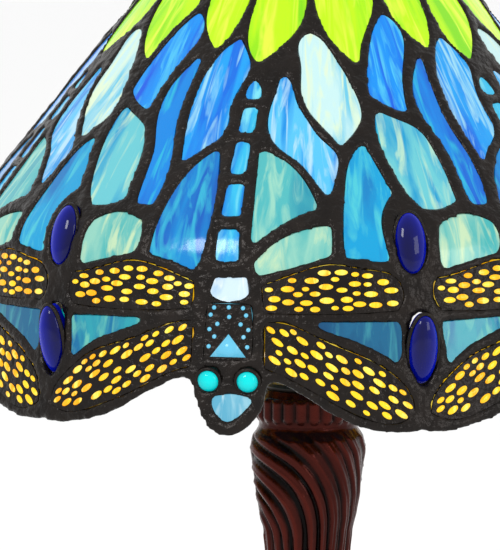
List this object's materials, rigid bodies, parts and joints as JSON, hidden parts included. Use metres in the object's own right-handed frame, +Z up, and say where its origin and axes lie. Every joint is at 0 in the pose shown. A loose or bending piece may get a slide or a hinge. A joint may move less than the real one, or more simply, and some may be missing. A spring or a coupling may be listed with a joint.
{
  "type": "table lamp",
  "caption": "Table lamp with a conical leaded glass shade of dragonflies and petals, a scalloped rim, and a cast fluted column on a round foot.",
  "frame": {"origin": "centre of the foot's underside, on the table", "axes": "+Z up along the column, -Y the front"},
  "size_m": [0.4426, 0.4404, 0.654],
  "materials": {
    "lead": "blackened solder",
    "lime_glass": "opalescent",
    "blue_glass": "streaky opalescent",
    "pale_glass": "streaky opalescent",
    "amber_glass": "opalescent",
    "cobalt_glass": "polished",
    "turquoise_glass": "polished",
    "bronze": "mahogany bronze patina",
    "brass": "antique brass",
    "steel": "zinc plated",
    "iron": "rough cast",
    "felt": "felt",
    "black_plastic": "moulded",
    "card": "fibre card",
    "porcelain": "glazed",
    "aluminium": "plain",
    "frosted_glass": "frosted"
  },
  "bodies": {
    "lamp": {"felt_pad": "felt", "foot_casting": "bronze", "inlet_bushing": "black_plastic", "ballast_disc": "iron", "column_casting": "bronze", "column_collar": "bronze", "column_cap": "bronze", "threaded_pipe": "steel", "foot_nut": "steel", "lock_washer": "steel", "column_locknut": "steel", "spacer_tube": "brass", "cluster_body": "brass", "cluster_arms": "brass", "riser_rod": "brass", "seat_nut": "brass", "holder_cap_1": "brass", "holder_shell_1": "brass", "holder_liner_1": "card", "holder_interior_1": "porcelain", "screw_shell_1": "brass", "centre_contact_1": "brass", "holder_cap_2": "brass", "holder_shell_2": "brass", "holder_liner_2": "card", "holder_interior_2": "porcelain", "screw_shell_2": "brass", "centre_contact_2": "brass"},
    "seat": {"seat_washer": "brass"},
    "shade": {"crown_glass": "blue_glass", "lime_petal_glass": "lime_glass", "pale_leaf_glass": "pale_glass", "broad_leaf_glass": "blue_glass", "slim_leaf_glass": "blue_glass", "low_leaf_glass": "blue_glass", "wing_top_glass": "pale_glass", "between_wing_glass": "blue_glass", "tail_glass": "blue_glass", "back_plate_glass": "pale_glass", "body_glass": "pale_glass", "face_glass": "pale_glass", "upper_wing_glass": "amber_glass", "lower_wing_glass": "amber_glass", "upper_wing_filigree": "lead", "lower_wing_filigree": "lead", "body_filigree": "lead", "upper_oval_jewels": "cobalt_glass", "lower_oval_jewels": "cobalt_glass", "eye_jewels": "turquoise_glass", "shade_lattice": "lead", "aperture_ring": "lead", "vented_cap": "bronze"},
    "finial": {"finial": "bronze", "finial_insert": "brass"},
    "knob_1": {"switch_knob_1": "black_plastic"},
    "bulb_1": {"bulb_base_1": "aluminium", "bulb_glass_1": "frosted_glass"},
    "knob_2": {"switch_knob_2": "black_plastic"},
    "bulb_2": {"bulb_base_2": "aluminium", "bulb_glass_2": "frosted_glass"}
  },
  "joints": [
    {"name": "shade_lift", "type": "slide", "parent": "lamp", "child": "seat", "axis": [0, 0, 1], "range_m": [0, 0.36]},
    {"name": "shade_turn", "type": "hinge", "parent": "seat", "child": "shade", "pos_m": [0, 0, 0.6], "axis": [0, 0, 1], "continuous": true},
    {"name": "finial_turn", "type": "hinge", "parent": "seat", "child": "finial", "pos_m": [0, 0, 0.63], "axis": [0, 0, 1], "continuous": true},
    {"name": "knob_1_turn", "type": "hinge", "parent": "lamp", "child": "knob_1", "pos_m": [0.04086, 0, 0.35332], "axis": [0, -1, 0], "continuous": true},
    {"name": "bulb_1_unscrew", "type": "slide", "parent": "lamp", "child": "bulb_1", "axis": [0.6428, 0, 0.766], "range_m": [0, 0.022]},
    {"name": "knob_2_turn", "type": "hinge", "parent": "lamp", "child": "knob_2", "pos_m": [-0.04086, 0, 0.35332], "axis": [0, 1, 0], "continuous": true},
    {"name": "bulb_2_unscrew", "type": "slide", "parent": "lamp", "child": "bulb_2", "axis": [-0.6428, 0, 0.766], "range_m": [0, 0.022]}
  ]
}
